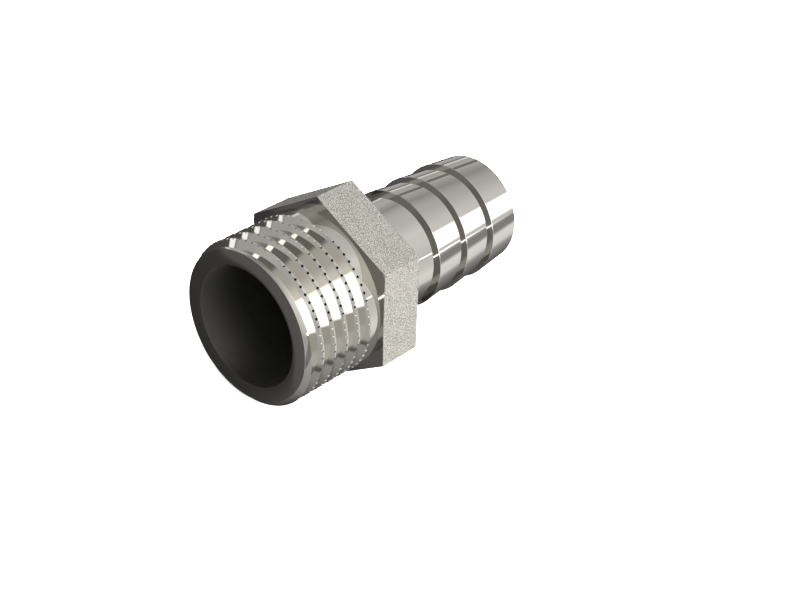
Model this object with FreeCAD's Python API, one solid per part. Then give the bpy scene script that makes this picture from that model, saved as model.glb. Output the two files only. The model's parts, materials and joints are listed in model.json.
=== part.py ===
import FreeCAD
import Part

import math
import os

# Hose tail that screws into a pipe socket: one turned and milled piece of stainless steel.
# All lengths are in millimetres.
# The axis of the fitting lies along X. The thread points to -X and the hose tail to +X.
# The origin is on the axis, in the plane of the shoulder that seats on the socket.
# The fitting lies on one flat of its hexagon, and that flat faces -Z.

# Male pipe thread of nominal size 1/2: the cylinder over its crests, with a lead-in chamfer.
thread_diameter = 20.955
thread_length = 12.0
thread_chamfer = 0.7

# The thread's groove: a right-hand truncated V. Its middle starts in the end face's plane, at this
# angle about +X from the top, so underneath.
thread_pitch = 2.0
thread_angle = 60.0
crest_flat = 0.25
root_flat = 0.3
groove_start_angle = -182.0

# The groove deepens over the first part of its first turn, so the end face keeps a whole rim. It
# rises out of the metal over the last part of its last turn, which leaves a plain land.
lead_in_turns = 0.4
lead_in_margin = 0.25
run_out_turns = 0.34
run_out_margin = 0.2
plain_land = 1.55

# Spanner hexagon, with sharp corners and square faces.
hexagon_across_flats = 22.0
hexagon_thickness = 6.2

# Hose tail: a plain neck, then barbs. Each barb rises in one square step on the hexagon's side
# and tapers back to the root towards the hose's end.
neck_length = 7.9
neck_undercut = 0.1
barb_count = 3
barb_pitch = 5.3
barb_root_diameter = 14.9
barb_height = 0.5

# Bore: wide from the thread's end to a little past the shoulder, then the cone that the drill
# leaves, down to the narrower bore of the tail. The walls lie under the crests and under the neck.
thread_wall = 2.68
tail_wall = 1.35
wide_bore_past_shoulder = 2.0
drill_point_angle = 118.0
mouth_chamfer = 0.3

# Cutting tools run this far past the faces that they cut.
overrun = 1.0

# The groove's path is a smooth curve through this many points on each turn.
points_per_turn = 8

# Radii and places that follow from the sizes above.
thread_radius = thread_diameter / 2
groove_slope = math.tan(math.radians(thread_angle / 2))
thread_depth = (thread_pitch - crest_flat - root_flat) / 2 / groove_slope
groove_turns = (thread_length - plain_land) / thread_pitch
lead_in_rise = thread_depth - thread_chamfer + lead_in_margin
run_out_rise = thread_depth + run_out_margin
barb_root_radius = barb_root_diameter / 2
neck_radius = barb_root_radius - neck_undercut
wide_bore_radius = thread_radius - thread_wall
narrow_bore_radius = neck_radius - tail_wall
drill_cone_length = (wide_bore_radius - narrow_bore_radius) / math.tan(math.radians(drill_point_angle / 2))
first_barb = hexagon_thickness + neck_length
tail_end = first_barb + barb_count * barb_pitch


def revolved(points):
    """Solid of revolution about the X axis of the closed outline through points (x, radius)."""
    corners = [FreeCAD.Vector(x, 0, radius) for x, radius in points]
    outline = Part.makePolygon(corners + corners[:1])
    return Part.Face(outline).revolve(FreeCAD.Vector(0, 0, 0), FreeCAD.Vector(1, 0, 0), 360)


def thread_outline():
    """The thread from its end face, over the lead-in chamfer, to the plane of the shoulder."""
    return [
        (-thread_length, 0),
        (-thread_length, thread_radius - thread_chamfer),
        (-thread_length + thread_chamfer, thread_radius),
        (0, thread_radius),
    ]


def groove_point(turns, along, height):
    """Point beside the groove's middle: along the axis, and up from the root as it is at that turn."""
    lead_in = max(0, 1 - turns / lead_in_turns)
    run_out = max(0, 1 - (groove_turns - turns) / run_out_turns)
    rise = lead_in_rise * lead_in ** 2 + run_out_rise * run_out ** 2
    radius = thread_radius - thread_depth + rise + height
    angle = math.radians(groove_start_angle + 360 * turns)
    x = turns * thread_pitch - thread_length + along
    return FreeCAD.Vector(x, -radius * math.sin(angle), radius * math.cos(angle))


def thread_groove():
    """The cutter of the thread: its section, swept along the helix from the end face to the land."""
    steps = round(groove_turns * points_per_turn)
    path = Part.BSplineCurve()
    path.interpolate([groove_point(groove_turns * step / steps, 0, 0) for step in range(steps + 1)])
    # Half the crest flat is as far as the cutter can stand out with its turns still apart.
    height = thread_depth + crest_flat / 2
    half_root = root_flat / 2
    half_top = half_root + height * groove_slope
    section = [(-half_top, height), (-half_root, 0), (half_root, 0), (half_top, height)]
    corners = [groove_point(0, along, up) for along, up in section]
    sweep = Part.BRepOffsetAPI.MakePipeShell(Part.Wire(path.toShape()))
    sweep.setBiNormalMode(FreeCAD.Vector(1, 0, 0))
    sweep.add(Part.makePolygon(corners + corners[:1]))
    sweep.build()
    sweep.makeSolid()
    return sweep.shape()


def tail_outline():
    """The neck and the barbs, from the plane of the shoulder to the tail's end face."""
    points = [(0, neck_radius), (first_barb, neck_radius)]
    for barb in range(barb_count):
        step = first_barb + barb * barb_pitch
        points.append((step, barb_root_radius + barb_height))
        points.append((step + barb_pitch, barb_root_radius))
    return points + [(tail_end, 0)]


def hexagon():
    """The spanner hexagon on its axis, one flat facing down."""
    corner_radius = hexagon_across_flats / math.sqrt(3)
    corners = []
    for corner in range(6):
        angle = math.radians(60 * corner)
        corners.append(FreeCAD.Vector(0, corner_radius * math.cos(angle), corner_radius * math.sin(angle)))
    outline = Part.makePolygon(corners + corners[:1])
    return Part.Face(outline).extrude(FreeCAD.Vector(hexagon_thickness, 0, 0))


def bore():
    """The cutter of the through bore, with the eased edge of the tail's mouth."""
    cone_start = wide_bore_past_shoulder
    return revolved([
        (-thread_length - overrun, 0),
        (-thread_length - overrun, wide_bore_radius),
        (cone_start, wide_bore_radius),
        (cone_start + drill_cone_length, narrow_bore_radius),
        (tail_end - mouth_chamfer, narrow_bore_radius),
        (tail_end + overrun, narrow_bore_radius + mouth_chamfer + overrun),
        (tail_end + overrun, 0),
    ])


def hose_tail():
    """The whole fitting in one solid."""
    turned = revolved(thread_outline() + tail_outline())
    return turned.fuse(hexagon()).removeSplitter().cut(bore()).cut(thread_groove())


os.makedirs("parts", exist_ok=True)
hose_tail().exportStep("parts/hose_tail.step")
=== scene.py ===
import json
import math

import bmesh
import bpy
from mathutils import Euler, Matrix, Vector


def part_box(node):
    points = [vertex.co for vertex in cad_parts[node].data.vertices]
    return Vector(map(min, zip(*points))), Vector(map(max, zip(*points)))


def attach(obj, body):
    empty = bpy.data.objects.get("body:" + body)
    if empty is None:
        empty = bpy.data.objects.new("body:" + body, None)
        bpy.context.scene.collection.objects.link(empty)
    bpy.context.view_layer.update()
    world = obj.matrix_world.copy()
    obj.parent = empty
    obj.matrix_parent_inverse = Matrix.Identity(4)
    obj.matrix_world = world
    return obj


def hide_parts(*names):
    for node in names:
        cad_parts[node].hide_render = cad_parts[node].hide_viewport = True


# Hose tail with a male pipe thread, turned and milled from one piece of stainless steel.
# Its axis lies along X, the thread points to -X, and it lies on one flat of its hexagon.

bl_info = {
    "name": "Hose tail",
    "version": (1, 0, 0),
    "blender": (4, 5, 0),
    "location": "3D View > Sidebar > Hose tail",
    "description": "Machines a threaded hose tail and lights it on a pale studio floor",
    "category": "Object",
}

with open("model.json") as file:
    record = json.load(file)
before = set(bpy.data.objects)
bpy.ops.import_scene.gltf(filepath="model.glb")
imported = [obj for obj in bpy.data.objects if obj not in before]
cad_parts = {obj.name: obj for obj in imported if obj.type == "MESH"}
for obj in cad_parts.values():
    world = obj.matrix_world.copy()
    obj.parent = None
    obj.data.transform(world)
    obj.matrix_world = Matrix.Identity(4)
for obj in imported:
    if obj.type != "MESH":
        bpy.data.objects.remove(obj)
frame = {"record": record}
LOWEST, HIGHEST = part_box("hose_tail")
MOUNTS = {mount["name"]: mount["dims"] for mount in frame["record"]["mounts"]}

MM = 0.001
AXIS = (1.0, 0.0, 0.0)
SIDEWAYS = (0.0, 1.0, 0.0)
UPWARDS = (0.0, 0.0, 1.0)
CENTRE = (0.0, 0.0, 0.0)
# Steps of one turn, for the body and for the thread.
TURN_STEPS = 256
# Corners closer together than this are one corner.
MERGE = 1e-7
# Faces that meet at more than this stay crisp.
CRISP = math.radians(20)


def linear(colour):
    """Scene-linear colour of an sRGB hex value such as "#c8c6c0"."""
    parts = [int(colour[place:place + 2], 16) / 255 for place in (1, 3, 5)]
    return tuple(part / 12.92 if part <= 0.04045 else ((part + 0.055) / 1.055) ** 2.4 for part in parts)


def length(name, description, millimetres):
    """Property that holds a length."""
    return bpy.props.FloatProperty(name=name, description=description, default=millimetres * MM,
                                   min=0.0, precision=5, subtype="DISTANCE", unit="LENGTH")


def angle(name, description, degrees):
    """Property that holds an angle."""
    return bpy.props.FloatProperty(name=name, description=description, default=math.radians(degrees),
                                   subtype="ANGLE", unit="ROTATION")


def tint(name, description, colour):
    """Property that holds a colour, given as an sRGB hex value."""
    return bpy.props.FloatVectorProperty(name=name, description=description, default=linear(colour),
                                         min=0.0, max=1.0, subtype="COLOR")


class HoseTailSizes(bpy.types.PropertyGroup):
    """Sizes of the fitting. Those that the frame states are read from it."""

    thread_length: length("Thread length", "From the end face to the shoulder", -LOWEST.x / MM)
    thread_radius: length("Thread radius", "Radius over the crests", MOUNTS["thread"]["r_mm"])
    thread_chamfer: length("Lead-in chamfer", "45 degree chamfer at the thread's end", 0.7)
    pitch: length("Pitch", "From crest to crest", 2.0)
    crest_flat: length("Crest flat", "Width of the flat left on each crest", 0.25)
    root_flat: length("Root flat", "Width of the groove's floor", 0.3)
    thread_angle: angle("Thread angle", "Between the two flanks of a groove", 60)
    across_flats: length("Across flats", "Spanner size of the hexagon", (HIGHEST.z - LOWEST.z) / MM)
    hexagon_thickness: length("Hexagon thickness", "Along the axis", 6.2)
    face_dish: angle("Shoulder dish", "How far the shoulder's face falls back outwards", 2.5)
    neck_length: length("Neck length", "From the hexagon to the first barb", 7.9)
    neck_radius: length("Neck radius", "Plain part of the tail", 7.35)
    barb_count: bpy.props.IntProperty(name="Barbs", description="Number of barbs", default=3, min=1)
    barb_pitch: length("Barb pitch", "From step to step", 5.3)
    barb_root: length("Barb root radius", "Where a barb's taper ends", 7.45)
    barb_height: length("Barb height", "Rise of each barb's step", 0.5)
    wide_bore: length("Wide bore radius", "Bore at the thread's end", MOUNTS["thread_end_bore"]["r_mm"])
    wide_bore_depth: length("Wide bore depth", "From the end face to the drill's cone",
                            MOUNTS["thread_end_bore"]["length_mm"])
    tail_bore: length("Tail bore radius", "Bore of the hose's end", MOUNTS["tail_bore"]["r_mm"])
    drill_angle: angle("Drill point angle", "Of the cone between the two bores", 118)
    mouth_chamfer: length("Mouth chamfer", "Eased edge of the tail's mouth", 0.3)
    edge_break: length("Edge break", "Width of the eased sharp edges", 0.05)


class HoseTailFinish(bpy.types.PropertyGroup):
    """Colours and grain of the steel, with painted light and shade in the bore's colour and painted shade
    in the nicks.
    """

    steel: tint("Steel", "Bright turned stainless steel", "#cecbc3")
    flats: tint("Flats", "Fine-grained flats of the hexagon", "#e0dbd2")
    # The bore's colours are painted light and shade: dark deep inside the bore as painted shade, and
    # brighter at the mouth on the +Y side as painted light falling in.
    bore: tint("Bore", "Drilled steel deep inside the bore", "#706e69")
    bore_mouth_painted_light: tint("Bore mouth", "Drilled steel at the mouth, painted brighter as painted light", "#b4b1aa")
    # The nicks' colour is painted shade: a nearly black colour for the nicks on the upper side.
    nick_shade: tint("Nick shade", "Nearly black painted shade in the nicks of the thread", "#2c2b29")
    grain: length("Grain", "Size of one grain on the hexagon's flats", 0.065)


# Width of the camera's sensor in millimetres.
SENSOR_WIDTH = 36.0


class HoseTailStudio(bpy.types.PropertyGroup):
    """Camera and floor."""

    camera_place: bpy.props.FloatVectorProperty(
        name="Camera", description="Place of the camera", default=(-0.11194, -0.04769, 0.13461),
        precision=5, subtype="TRANSLATION", unit="LENGTH")
    camera_turn: bpy.props.FloatVectorProperty(
        name="Camera turn", description="Turn of the camera",
        default=tuple(math.radians(degrees) for degrees in (37.797, -23.552, -43.984)),
        subtype="EULER", unit="ROTATION")
    lens: bpy.props.FloatProperty(
        name="Lens", description="Focal length in millimetres on a sensor 36 mm wide", default=66.51,
        min=1.0, subtype="DISTANCE_CAMERA", unit="CAMERA")
    floor: tint("Floor", "Pale floor", "#f7f7f6")


# Mesh of the fitting

# The blank's collar stands this far out of the hexagon's corners, until the flats are milled.
COLLAR_SPARE = 1.0 * MM


def add_outline(bm, points):
    """Adds a closed outline of (x, radius) points above the axis, and returns its corners."""
    corners = [bm.verts.new((x, 0.0, radius)) for x, radius in points]
    for corner, following in zip(corners, corners[1:] + corners[:1]):
        bm.edges.new((corner, following))
    return corners


def close_holes(bm):
    """Closes every open rim of the mesh with a face."""
    bmesh.ops.holes_fill(bm, edges=[edge for edge in bm.edges if edge.is_boundary], sides=0)


def turned(outline):
    """Closed outline of (x, radius) points, turned once round the axis."""
    bm = bmesh.new()
    add_outline(bm, outline)
    bmesh.ops.spin(bm, geom=bm.verts[:] + bm.edges[:], cent=CENTRE, axis=AXIS, angle=math.tau,
                   steps=TURN_STEPS, use_merge=True)
    bmesh.ops.remove_doubles(bm, verts=bm.verts, dist=MERGE)
    bmesh.ops.recalc_face_normals(bm, faces=bm.faces)
    return bm


def blank_outline(sizes):
    """Outline of the turned blank, with a round collar where the hexagon comes."""
    collar = sizes.across_flats / math.sqrt(3) + COLLAR_SPARE
    dish = (collar - sizes.thread_radius) * math.tan(sizes.face_dish)
    first_barb = sizes.hexagon_thickness + sizes.neck_length
    points = [
        (-sizes.thread_length, sizes.thread_radius - sizes.thread_chamfer),
        (-sizes.thread_length + sizes.thread_chamfer, sizes.thread_radius),
        (0.0, sizes.thread_radius),
        (dish, collar),
        (sizes.hexagon_thickness, collar),
        (sizes.hexagon_thickness, sizes.neck_radius),
        (first_barb, sizes.neck_radius),
    ]
    # Each barb's face stands square on the metal before it: the neck, or the taper of the last barb.
    lean = sizes.barb_height * sizes.barb_height / sizes.barb_pitch
    for barb in range(sizes.barb_count):
        step = first_barb + barb * sizes.barb_pitch
        points.append((step + (lean if barb else 0.0), sizes.barb_root + sizes.barb_height))
        points.append((step + sizes.barb_pitch, sizes.barb_root))
    tail_end = first_barb + sizes.barb_count * sizes.barb_pitch
    cone_start = sizes.wide_bore_depth - sizes.thread_length
    cone_length = (sizes.wide_bore - sizes.tail_bore) / math.tan(sizes.drill_angle / 2)
    return points + [
        (tail_end, sizes.tail_bore + sizes.mouth_chamfer),
        (tail_end - sizes.mouth_chamfer, sizes.tail_bore),
        (cone_start + cone_length, sizes.tail_bore),
        (cone_start, sizes.wide_bore),
        (-sizes.thread_length, sizes.wide_bore),
    ]


def mill_flats(bm, sizes):
    """Mills the six flats off the round collar."""
    for flat in range(6):
        outward = Matrix.Rotation(math.tau * flat / 6, 3, "X") @ Vector(UPWARDS)
        bmesh.ops.bisect_plane(bm, geom=bm.verts[:] + bm.edges[:] + bm.faces[:], dist=MERGE,
                               plane_co=outward * sizes.across_flats / 2, plane_no=outward,
                               clear_outer=True)
        close_holes(bm)
    bmesh.ops.recalc_face_normals(bm, faces=bm.faces)


def turned_edge(edge, sizes):
    """Whether an outward edge runs round the fitting, outside its wide bore."""
    across = all(math.hypot(corner.co.y, corner.co.z) > sizes.wide_bore + MERGE for corner in edge.verts)
    level = abs(edge.verts[0].co.x - edge.verts[1].co.x) < sizes.edge_break
    return across and level and edge.calc_face_angle_signed(0.0) > CRISP


def break_edges(bm, sizes):
    """Eases the outward edges that run round the fitting by a hair, as a deburring tool does."""
    sharp = [edge for edge in bm.edges if turned_edge(edge, sizes)]
    bmesh.ops.bevel(bm, geom=sharp, offset=sizes.edge_break, affect="EDGES", segments=2, profile=0.5,
                    material=-1, clamp_overlap=True)


# The threading tool's path, in turns round the axis from the top of the fitting. The groove's middle
# is at GROOVE_AT_TOP where it first passes the top. The tool starts underneath, between two steps of
# the body, and sinks to the full depth by TOOL_IN, on the far side. It rises again from TOOL_OUT,
# underneath, to TOOL_END.
GROOVE_AT_TOP = -10.99 * MM
TOOL_START = -135.5 / TURN_STEPS
TOOL_IN = -0.20
TOOL_OUT = 4.38
TOOL_END = 4.72
LIFT_AT_START = 0.75 * MM
LIFT_AT_END = 1.45 * MM
# The tool stands this far out of the metal, so that it cuts clean through the surface.
TOOL_PROUD = 0.12 * MM


def tool_lift(turns):
    """How far the threading tool has risen out of its groove."""
    entering = max(0.0, (TOOL_IN - turns) / (TOOL_IN - TOOL_START))
    leaving = max(0.0, (turns - TOOL_OUT) / (TOOL_END - TOOL_OUT))
    return LIFT_AT_START * entering + LIFT_AT_END * leaving * leaving


def threading_tool(sizes):
    """Solid that the threading tool sweeps: a truncated V on a right-hand helix."""
    spread = math.tan(sizes.thread_angle / 2)
    half_root = sizes.root_flat / 2
    half_gap = (sizes.pitch - sizes.crest_flat) / 2
    half_top = half_gap + TOOL_PROUD * spread
    root = sizes.thread_radius - (half_gap - half_root) / spread
    top = sizes.thread_radius + TOOL_PROUD
    start = GROOVE_AT_TOP + sizes.pitch * TOOL_START
    bm = bmesh.new()
    corners = add_outline(bm, [(start - half_top, top), (start - half_root, root),
                               (start + half_root, root), (start + half_top, top)])
    bmesh.ops.rotate(bm, verts=corners, cent=CENTRE, matrix=Matrix.Rotation(math.tau * TOOL_START, 3, "X"))
    steps = round((TOOL_END - TOOL_START) * TURN_STEPS)
    bmesh.ops.spin(bm, geom=bm.verts[:] + bm.edges[:], cent=CENTRE, axis=AXIS,
                   dvec=(sizes.pitch / TURN_STEPS, 0.0, 0.0), angle=math.tau * steps / TURN_STEPS,
                   steps=steps)
    close_holes(bm)
    for corner in bm.verts:
        radius = math.hypot(corner.co.y, corner.co.z)
        part_turn = math.atan2(-corner.co.y, corner.co.z) / math.tau
        along = (corner.co.x - GROOVE_AT_TOP) / sizes.pitch
        turns = part_turn + round(along - part_turn)
        grown = 1 + tool_lift(turns) / radius
        corner.co.y *= grown
        corner.co.z *= grown
    bmesh.ops.recalc_face_normals(bm, faces=bm.faces)
    return bm


# Nicks along the crest's edge on the side of the thread's end, between these turns from the top. Each
# is cut by a spike with four sides. Its tip is NICK_DEPTH under the crest, and its corners are
# NICK_RADIUS from its middle at NICK_DEPTH over the crest.
NICKS_PER_TURN = 64
NICKS_START = -0.40
NICKS_END = 4.40
NICK_SIDES = 4
NICK_RADIUS = 0.46 * MM
NICK_DEPTH = 0.3 * MM
# The nicks on the upper side towards -Y, above this height and before this place, are painted nearly black:
# painted shade in the nicks.
SHADED_NICK_HEIGHT = 8.0 * MM
SHADED_NICK_SIDE = 0.5 * MM


def nicking_tool(sizes):
    """Spikes that nick the crests at even steps along the helix, and give some of the nicks the painted
    shade.
    """
    bm = bmesh.new()
    edge = GROOVE_AT_TOP + (sizes.pitch - sizes.crest_flat) / 2
    inwards = Matrix.Translation((edge, 0.0, sizes.thread_radius)) @ Matrix.Rotation(math.pi, 4, "X")
    bmesh.ops.create_cone(bm, cap_ends=True, segments=NICK_SIDES, radius1=NICK_RADIUS, radius2=0.0,
                          depth=2 * NICK_DEPTH, matrix=inwards)
    start = Matrix.Rotation(math.tau * NICKS_START, 4, "X")
    start.translation.x = sizes.pitch * NICKS_START
    bmesh.ops.transform(bm, matrix=start, verts=bm.verts)
    steps = round((NICKS_END - NICKS_START) * NICKS_PER_TURN)
    bmesh.ops.spin(bm, geom=bm.verts[:] + bm.edges[:] + bm.faces[:], cent=CENTRE, axis=AXIS,
                   dvec=(sizes.pitch / NICKS_PER_TURN, 0.0, 0.0), steps=steps,
                   angle=math.tau * steps / NICKS_PER_TURN, use_duplicate=True)
    bmesh.ops.recalc_face_normals(bm, faces=bm.faces)
    for face in bm.faces:
        middle = face.calc_center_median()
        # These nicks get the painted shade.
        if middle.z > SHADED_NICK_HEIGHT and middle.y < SHADED_NICK_SIDE:
            face.material_index = SHADED_NICK
    return bm


def as_object(name, bm):
    """New object of a bmesh, linked to the scene."""
    mesh = bpy.data.meshes.new(name)
    bm.to_mesh(mesh)
    bm.free()
    made = bpy.data.objects.new(name, mesh)
    bpy.context.scene.collection.objects.link(made)
    return made


def cut(body, tool):
    """Takes the tool's solid out of the body, and the tool out of the scene."""
    modifier = body.modifiers.new("Cut", "BOOLEAN")
    modifier.operation = "DIFFERENCE"
    modifier.solver = "EXACT"
    modifier.object = tool
    depsgraph = bpy.context.evaluated_depsgraph_get()
    finished = bpy.data.meshes.new_from_object(body.evaluated_get(depsgraph))
    if len(finished.polygons) <= len(body.data.polygons):
        raise RuntimeError(f"{tool.name} cut nothing")
    body.modifiers.clear()
    body.data = finished
    bpy.data.objects.remove(tool)


# Finishes of the fitting, in the order of its material slots. The last is the painted shade in the nicks.
TURNED, FACED, FLATS, BORE, SHADED_NICK = range(5)
# How far a face's normal reaches along X on a faced end, away from the axis on the hexagon's flats,
# and towards the axis inside the bore.
FACED_REACH = 0.98
FLATS_REACH = 0.9
BORE_REACH = 0.2


def finish_of(face, sizes):
    """Which finish a face of the fitting has, from its place and the way that it points."""
    if face.material_index == SHADED_NICK:
        return SHADED_NICK
    middle = face.calc_center_median()
    radius = math.hypot(middle.y, middle.z)
    outward = (face.normal.y * middle.y + face.normal.z * middle.z) / radius
    if outward < -BORE_REACH and radius < sizes.wide_bore + sizes.edge_break:
        return BORE
    if abs(face.normal.x) > FACED_REACH:
        return FACED
    if radius > sizes.thread_radius + sizes.edge_break and outward > FLATS_REACH:
        return FLATS
    return TURNED


# Node trees

# A mix node's sockets for its two colours and for its result, which share their names with others.
MIX_BELOW, MIX_ABOVE, MIX_RESULT = 6, 7, 2


def add_node(tree, kind, links=None, **settings):
    """Adds a node with its settings, and sets or links its inputs."""
    node = tree.nodes.new(kind)
    for name, value in settings.items():
        setattr(node, name, value)
    for name, value in (links or {}).items():
        if isinstance(value, bpy.types.NodeSocket):
            tree.links.new(value, node.inputs[name])
        else:
            node.inputs[name].default_value = value
    return node


def multiply(tree, one, other):
    """Product of two values."""
    return add_node(tree, "ShaderNodeMath", {0: one, 1: other}, operation="MULTIPLY").outputs["Value"]


def fade(tree, value, full, none):
    """1 where the value is at full, 0 where it is at none, and a smooth step between."""
    limits = {"Value": value, "From Min": full, "From Max": none, "To Min": 1.0, "To Max": 0.0}
    return add_node(tree, "ShaderNodeMapRange", limits, interpolation_type="SMOOTHSTEP").outputs["Result"]


def blend(tree, share, below, above):
    """Colour that goes from one to the other as the share rises to 1."""
    mixed = add_node(tree, "ShaderNodeMix", {0: share, MIX_BELOW: below, MIX_ABOVE: above},
                     data_type="RGBA")
    return mixed.outputs[MIX_RESULT]


# Materials

# Spacing of the rings that a tool leaves: the lathe's on the outside and the drill's in the bore.
LATHE_RINGS = 0.25 * MM
DRILL_RINGS = 0.4 * MM
RING_DEPTH = 0.002 * MM
# How strongly the lathe's rings show in a reflection.
BRIGHT_RELIEF = 0.15
FACED_RELIEF = 0.06
# Roughness of each finish. Where it has two values, it varies between them with the rings.
BRIGHT_ROUGHNESS = (0.02, 0.07)
FACED_ROUGHNESS = (0.05, 0.1)
DRILLED_ROUGHNESS = (0.48, 0.56)
GRAINED_ROUGHNESS = 0.45
SHADED_NICK_ROUGHNESS = 0.7
# Grain of the hexagon's flats: how high in the noise its dark and its light end lie, how dark and how
# light they are beside the flats' colour, and how deep and how strongly it shows in the light.
GRAIN_ENDS = (0.37, 0.595)
GRAIN_SHADES = (0.2, 1.36)
GRAIN_DEPTH = 0.02 * MM
GRAIN_RELIEF = 0.5
# How deep into the bore its mouth is painted brighter, as painted light falling in at the mouth, and
# between which places towards -Y that painted light ends.
LIT_MOUTH_DEPTH = 7.5 * MM
LIT_SIDE, SHADED_SIDE = 2.5 * MM, -4.0 * MM


def new_steel(name):
    """Material with its Principled shader and the fitting's own coordinates."""
    material = bpy.data.materials.new(name)
    material.use_nodes = True
    tree = material.node_tree
    shader = tree.nodes["Principled BSDF"]
    shader.inputs["Metallic"].default_value = 1.0
    place = add_node(tree, "ShaderNodeTexCoord").outputs["Object"]
    return material, tree, shader, place


def rings(tree, place, spacing):
    """Height of the fine rings that a tool leaves, along the axis and across a faced end."""
    across = add_node(tree, "ShaderNodeVectorMath", {0: place, 1: (0.0, 1.0, 1.0)}, operation="MULTIPLY")
    radius = add_node(tree, "ShaderNodeVectorMath", {0: across.outputs["Vector"]}, operation="LENGTH")
    apart = add_node(tree, "ShaderNodeSeparateXYZ", {"Vector": place})
    turned_place = add_node(tree, "ShaderNodeCombineXYZ",
                            {"X": apart.outputs["X"], "Y": radius.outputs["Value"]})
    noise = add_node(tree, "ShaderNodeTexNoise", {"Vector": turned_place.outputs["Vector"],
                                                  "Scale": 1 / spacing, "Detail": 3.0, "Roughness": 0.6})
    return noise.outputs["Fac"]


def vary_roughness(tree, shader, height, roughness):
    """Lets the roughness vary with the height of the marks, between its two values."""
    smooth, rough = roughness
    varied = add_node(tree, "ShaderNodeMapRange", {"Value": height, "To Min": smooth, "To Max": rough})
    tree.links.new(varied.outputs["Result"], shader.inputs["Roughness"])


def emboss(tree, shader, height, depth, relief):
    """Lets the light show the height of the marks."""
    bump = add_node(tree, "ShaderNodeBump", {"Height": height, "Strength": relief, "Distance": depth})
    tree.links.new(bump.outputs["Normal"], shader.inputs["Normal"])


def lathe_turned(name, finish, roughness, relief):
    """Bright stainless steel with the rings that the lathe's tool leaves."""
    material, tree, shader, place = new_steel(name)
    height = rings(tree, place, LATHE_RINGS)
    shader.inputs["Base Color"].default_value = (*finish.steel, 1.0)
    vary_roughness(tree, shader, height, roughness)
    emboss(tree, shader, height, RING_DEPTH, relief)
    return material


def bright_turned_steel(finish):
    """Stainless steel, fine-turned on the lathe and polished: a clear mirror with the faintest rings."""
    return lathe_turned("stainless_steel_bright_turned", finish, BRIGHT_ROUGHNESS, BRIGHT_RELIEF)


def faced_steel(finish):
    """Stainless steel, faced on the lathe: mirror-like, with rings round the axis."""
    return lathe_turned("stainless_steel_faced", finish, FACED_ROUGHNESS, FACED_RELIEF)


def grained_steel(finish):
    """Stainless steel hexagon bar with its blasted skin left on: a satin face with sparkling grain."""
    material, tree, shader, place = new_steel("stainless_steel_fine_grained")
    grain = add_node(tree, "ShaderNodeTexNoise", {"Vector": place, "Scale": 1 / finish.grain,
                                                  "Detail": 0.0})
    shades = add_node(tree, "ShaderNodeValToRGB", {"Fac": grain.outputs["Fac"]})
    for stop, position, shade in zip(shades.color_ramp.elements, GRAIN_ENDS, GRAIN_SHADES):
        stop.position = position
        stop.color = (*(min(1.0, channel * shade) for channel in finish.flats), 1.0)
    tree.links.new(shades.outputs["Color"], shader.inputs["Base Color"])
    shader.inputs["Roughness"].default_value = GRAINED_ROUGHNESS
    emboss(tree, shader, grain.outputs["Fac"], GRAIN_DEPTH, GRAIN_RELIEF)
    return material


def drilled_steel_with_painted_light(finish):
    """Drilled stainless steel, streaky inside, with painted light and shade in its colour: painted dark
    deep in the bore as painted shade, and painted brighter at the thread's end on the +Y side as painted
    light."""
    material, tree, shader, place = new_steel("stainless_steel_drilled_painted_light")
    apart = add_node(tree, "ShaderNodeSeparateXYZ", {"Vector": place})
    # Painted light: brighter near the mouth and on the +Y side. Painted shade: darker deeper in and towards
    # -Y.
    lit_near_mouth = fade(tree, apart.outputs["X"], LOWEST.x, LOWEST.x + LIT_MOUTH_DEPTH)
    lit_on_side = fade(tree, apart.outputs["Y"], LIT_SIDE, SHADED_SIDE)
    shade = blend(tree, multiply(tree, lit_near_mouth, lit_on_side), (*finish.bore, 1.0), (*finish.bore_mouth_painted_light, 1.0))
    tree.links.new(shade, shader.inputs["Base Color"])
    vary_roughness(tree, shader, rings(tree, place, DRILL_RINGS), DRILLED_ROUGHNESS)
    return material


def nick_shade_steel(finish):
    """Painted shade in the nicks: stainless steel coloured nearly black and matt."""
    material, _, shader, _ = new_steel("stainless_steel_painted_nick_shade")
    shader.inputs["Base Color"].default_value = (*finish.nick_shade, 1.0)
    shader.inputs["Roughness"].default_value = SHADED_NICK_ROUGHNESS
    return material


# Studio

# Half the floor's width in metres, and its squares along each side.
FLOOR_REACH = 1.5
FLOOR_SQUARES = 8
FLOOR_ROUGHNESS = 0.9
# Lamp over the floor alone: the steel doesn't mirror it. Its size and height are in metres.
FLOOR_LIGHT_SIZE = 1.8
FLOOR_LIGHT_HEIGHT = 0.9
FLOOR_LIGHT_RADIANCE = 9.0
# The camera sees nothing closer than this.
NEAREST_SEEN = 10.0 * MM

# The room round the fitting: its grey at each elevation in degrees. The fitting mirrors it all.
# The key's side is towards -Y, in front of the hexagon (+X) and behind it (-X).
KEY_SIDE_FRONT = [(-60, 0.08), (-42, 0.15), (-32, 0.30), (-26, 0.45), (-20, 0.95), (-9, 1.08),
                  (4, 0.88), (20, 0.80), (34, 0.90), (46, 0.93), (62, 0.92), (80, 0.96)]
KEY_SIDE_BACK = [(-70, 0.15), (-50, 0.36), (-22, 0.50), (0, 0.72), (12, 0.80), (25, 1.00),
                 (45, 1.15), (65, 0.95)]
# The far side has a low bright slot between a dark floor and a dim wall.
FAR_SIDE = [(-60, 0.04), (-40, 0.06), (-16, 0.12), (-12, 0.25), (-10.5, 0.95), (-8, 0.95), (-6.5, 0.50),
            (6, 0.62), (14, 0.50), (21, 0.40), (30, 0.60), (38, 0.68), (50, 0.74), (64, 0.92), (80, 0.96)]
# One wall passes into the next over this share of a direction's length, to either side of the middle:
# the front into the back along X, and the key's side into the far side along Y.
FRONT_TO_BACK = 0.2
NEAR_TO_FAR = 0.25

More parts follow.
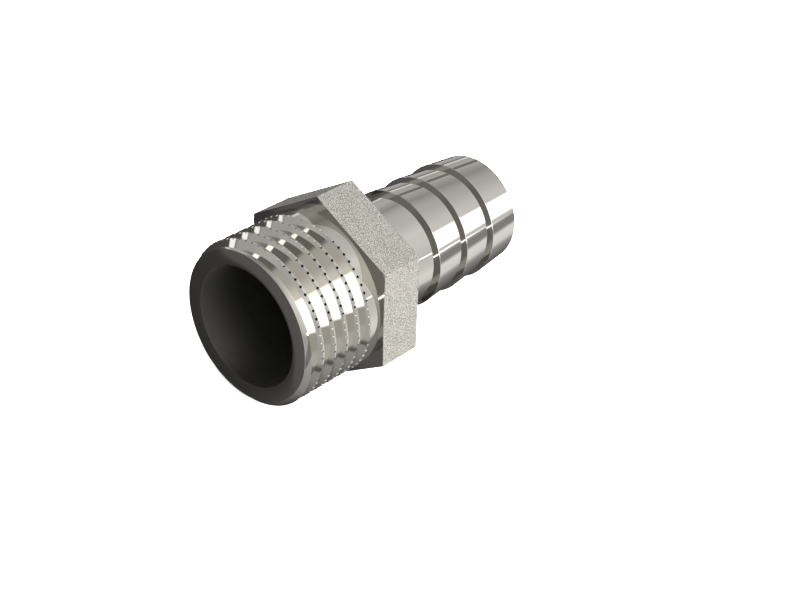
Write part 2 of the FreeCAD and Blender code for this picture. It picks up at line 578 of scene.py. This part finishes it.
# Dim band round the camera, as the inside corners of the fitting throw it back: its grey at each
# elevation, how far along X a direction reaches at its outer and its inner edge, and how soft they are.
CAMERA_BAND = [(-60, 0.12), (-28, 0.14), (-14, 0.27), (0, 0.27), (12, 0.33), (38, 0.33), (50, 0.25)]
CAMERA_BAND_OUTER, CAMERA_BAND_INNER = -0.76, -0.61
CAMERA_BAND_EDGE = 0.012

# Softboxes and flags in that room: name, azimuth and elevation of the middle, half width, half
# height and roll, all in degrees, then softness of the edge as a share of the half size, and grey.
# Azimuth is measured from +X towards +Y.
CARDS = [
    ("key glow", -38.0, 62.0, 14.0, 9.0, 0.0, 0.9, 1.5),
    ("key softbox", -68.0, 42.0, 12.0, 22.5, 15.0, 0.12, 4.0),
    ("low key wall", -76.0, 3.0, 7.0, 13.0, 0.0, 0.3, 0.80),
    ("low side wall", -85.0, -17.5, 8.0, 11.5, 0.0, 0.3, 1.0),
    ("front softbox", -24.5, 21.5, 4.5, 10.5, 38.0, 0.12, 2.4),
    ("strip light", -40.5, 15.0, 0.7, 8.5, -44.0, 0.3, 3.0),
    ("front flag", -36.0, 1.5, 5.0, 6.5, 0.0, 0.5, 0.33),
    ("far flag", 73.0, 43.0, 7.0, 15.0, -30.0, 0.3, 0.30),
    ("far spot", 82.0, 28.0, 2.5, 4.0, 0.0, 0.2, 3.0),
    ("far low wall", 32.0, -21.5, 10.0, 6.5, 0.0, 0.2, 0.50),
    ("far stripe", 38.0, 5.5, 5.0, 2.4, 0.0, 0.3, 0.22),
    ("far low band", 133.0, -5.8, 7.5, 7.5, 0.0, 0.2, 0.52),
    ("back slot", 124.8, -16.2, 1.9, 2.5, 0.0, 0.2, 1.5),
    ("back low wall", -142.8, -13.5, 6.2, 21.0, 0.0, 0.15, 0.55),
    ("back strip light", -135.7, 12.0, 5.0, 0.8, 0.0, 0.2, 7.0),
    ("back window", -168.0, 4.0, 6.0, 4.0, 0.0, 0.6, 1.1),
]


def direction(azimuth, elevation):
    """Unit vector towards that azimuth and elevation, given in degrees."""
    turn, rise = math.radians(azimuth), math.radians(elevation)
    return Vector((math.cos(rise) * math.cos(turn), math.cos(rise) * math.sin(turn), math.sin(rise)))


def room_wall(tree, level, stops):
    """Grey of the room by the height of a direction, from stops of elevation and grey."""
    shades = add_node(tree, "ShaderNodeValToRGB", {"Fac": level})
    ramp = shades.color_ramp
    for place, (elevation, grey) in enumerate(stops):
        position = (math.sin(math.radians(elevation)) + 1) / 2
        stop = ramp.elements[0] if place == 0 else ramp.elements.new(position)
        stop.position = position
        stop.color = (grey, grey, grey, 1.0)
    ramp.elements.remove(ramp.elements[-1])
    return shades.outputs["Color"]


def reach_along(tree, towards, axis):
    """How far a direction reaches along an axis."""
    dot = add_node(tree, "ShaderNodeVectorMath", {0: towards, 1: axis}, operation="DOT_PRODUCT")
    return dot.outputs["Value"]


def card_share(tree, towards, azimuth, elevation, half_width, half_height, roll, softness):
    """1 where a direction meets the card, 0 beside it, with a soft edge."""
    outwards = direction(azimuth, elevation)
    level = direction(azimuth + 90.0, 0.0)
    upwards = outwards.cross(level)
    turn = math.radians(roll)
    sides = ((level * math.cos(turn) - upwards * math.sin(turn), half_width),
             (upwards * math.cos(turn) + level * math.sin(turn), half_height))
    reach = reach_along(tree, towards, outwards)
    ahead = add_node(tree, "ShaderNodeMath", {0: reach, 1: 0.0}, operation="GREATER_THAN")
    share = ahead.outputs["Value"]
    for side, half_size in sides:
        offset = add_node(tree, "ShaderNodeMath", {0: reach_along(tree, towards, side), 1: reach},
                          operation="DIVIDE")
        aside = add_node(tree, "ShaderNodeMath", {0: offset.outputs["Value"]}, operation="ABSOLUTE")
        edge = math.tan(math.radians(half_size))
        inside = fade(tree, aside.outputs["Value"], edge * (1 - softness), edge * (1 + softness))
        share = multiply(tree, share, inside)
    return share


def studio_room():
    """World with the room's walls and the cards in it."""
    world = bpy.data.worlds.new("studio_room")
    world.use_nodes = True
    tree = world.node_tree
    towards = add_node(tree, "ShaderNodeTexCoord").outputs["Generated"]
    forwards, sideways, upwards = (reach_along(tree, towards, axis) for axis in (AXIS, SIDEWAYS, UPWARDS))
    level = add_node(tree, "ShaderNodeMapRange", {"Value": upwards, "From Min": -1.0,
                                                  "From Max": 1.0}).outputs["Result"]
    key_front, key_back, far, band = (
        room_wall(tree, level, stops) for stops in (KEY_SIDE_FRONT, KEY_SIDE_BACK, FAR_SIDE, CAMERA_BAND))
    key_side = blend(tree, fade(tree, forwards, -FRONT_TO_BACK, FRONT_TO_BACK), key_front, key_back)
    shade = blend(tree, fade(tree, sideways, NEAR_TO_FAR, -NEAR_TO_FAR), key_side, far)
    inner = fade(tree, forwards, CAMERA_BAND_INNER - CAMERA_BAND_EDGE, CAMERA_BAND_INNER + CAMERA_BAND_EDGE)
    outer = fade(tree, forwards, CAMERA_BAND_OUTER + CAMERA_BAND_EDGE, CAMERA_BAND_OUTER - CAMERA_BAND_EDGE)
    shade = blend(tree, multiply(tree, inner, outer), shade, band)
    for name, *card, grey in CARDS:
        shade = blend(tree, card_share(tree, towards, *card), shade, (grey, grey, grey, 1.0))
        shade.node.label = name
    tree.links.new(shade, tree.nodes["Background"].inputs["Color"])
    return world


def matt_white_floor(colour):
    """Paper sheet, plain and matt: it mirrors nothing."""
    material = bpy.data.materials.new("matt_white_floor")
    material.use_nodes = True
    shader = material.node_tree.nodes["Principled BSDF"]
    shader.inputs["Base Color"].default_value = (*colour, 1.0)
    shader.inputs["Roughness"].default_value = FLOOR_ROUGHNESS
    shader.inputs["Specular IOR Level"].default_value = 0.0
    return material


def studio_floor(studio):
    """Pale floor under the fitting. The steel mirrors the room's walls and not the floor."""
    bm = bmesh.new()
    bmesh.ops.create_grid(bm, x_segments=FLOOR_SQUARES, y_segments=FLOOR_SQUARES, size=FLOOR_REACH,
                          matrix=Matrix.Translation((0.0, 0.0, LOWEST.z)))
    floor = as_object("floor", bm)
    floor.data.materials.append(matt_white_floor(studio.floor))
    floor.visible_glossy = False
    floor.visible_shadow = False
    return floor


def add_floor_light(scene):
    """Hangs the soft lamp over the floor."""
    light = bpy.data.lights.new("floor_light", "AREA")
    light.size = FLOOR_LIGHT_SIZE
    light.energy = FLOOR_LIGHT_RADIANCE * math.pi * light.size * light.size
    overhead = bpy.data.objects.new("floor_light", light)
    overhead.location = (0.0, 0.0, FLOOR_LIGHT_HEIGHT)
    overhead.visible_glossy = False
    scene.collection.objects.link(overhead)


def add_camera(scene, studio):
    """Puts up the camera and lets the scene look through it."""
    lens = bpy.data.cameras.new("camera")
    lens.sensor_width = SENSOR_WIDTH
    lens.lens = studio.lens
    lens.clip_start = NEAREST_SEEN
    camera = bpy.data.objects.new("camera", lens)
    camera.location = studio.camera_place
    camera.rotation_euler = Euler(studio.camera_turn)
    scene.collection.objects.link(camera)
    scene.camera = camera


# Operators and panel


class HOSETAIL_OT_machine(bpy.types.Operator):
    """Turn, mill, thread and drill the fitting from one piece"""

    bl_idname = "hose_tail.machine"
    bl_label = "Machine the fitting"

    def execute(self, context):
        sizes, finish = context.scene.hose_tail_sizes, context.scene.hose_tail_finish
        bm = turned(blank_outline(sizes))
        mill_flats(bm, sizes)
        break_edges(bm, sizes)
        fitting = as_object("machined_fitting", bm)
        for finished in (bright_turned_steel, faced_steel, grained_steel, drilled_steel_with_painted_light, nick_shade_steel):
            fitting.data.materials.append(finished(finish))
        cut(fitting, as_object("threading_tool", threading_tool(sizes)))
        cut(fitting, as_object("nicking_tool", nicking_tool(sizes)))
        mesh = fitting.data
        bm = bmesh.new()
        bm.from_mesh(mesh)
        bmesh.ops.remove_doubles(bm, verts=bm.verts, dist=MERGE)
        bmesh.ops.recalc_face_normals(bm, faces=bm.faces)
        for face in bm.faces:
            face.smooth = True
            face.material_index = finish_of(face, sizes)
        bm.to_mesh(mesh)
        bm.free()
        mesh.set_sharp_from_angle(angle=CRISP)
        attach(fitting, "root")
        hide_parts("hose_tail")
        return {"FINISHED"}


class HOSETAIL_OT_studio(bpy.types.Operator):
    """Put down the floor, the lights and the camera"""

    bl_idname = "hose_tail.studio"
    bl_label = "Set up the studio"

    def execute(self, context):
        scene, studio = context.scene, context.scene.hose_tail_studio
        floor = studio_floor(studio)
        scene.world = studio_room()
        add_floor_light(scene)
        add_camera(scene, studio)
        scene.view_settings.view_transform = "Standard"
        return {"FINISHED"}


class HOSETAIL_PT_panel(bpy.types.Panel):
    """The steps that make the fitting, and its sizes"""

    bl_idname = "HOSETAIL_PT_panel"
    bl_label = "Hose tail"
    bl_space_type = "VIEW_3D"
    bl_region_type = "UI"
    bl_category = "Hose tail"

    def draw(self, context):
        for operator in OPERATORS:
            self.layout.operator(operator.bl_idname)
        for settings in SETTINGS:
            group = getattr(context.scene, settings)
            column = self.layout.column()
            for name in group.__annotations__:
                column.prop(group, name)


OPERATORS = (HOSETAIL_OT_machine, HOSETAIL_OT_studio)
SETTINGS = {
    "hose_tail_sizes": HoseTailSizes,
    "hose_tail_finish": HoseTailFinish,
    "hose_tail_studio": HoseTailStudio,
}
CLASSES = (*SETTINGS.values(), *OPERATORS, HOSETAIL_PT_panel)


def register():
    for made in CLASSES:
        bpy.utils.register_class(made)
    for name, group in SETTINGS.items():
        setattr(bpy.types.Scene, name, bpy.props.PointerProperty(type=group))


def unregister():
    for name in SETTINGS:
        delattr(bpy.types.Scene, name)
    for made in reversed(CLASSES):
        bpy.utils.unregister_class(made)


def main():
    """Builds the fitting and the studio."""
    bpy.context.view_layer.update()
    register()
    for operator in OPERATORS:
        group, name = operator.bl_idname.split(".")
        getattr(getattr(bpy.ops, group), name)()


if __name__ == "__main__":
    main()
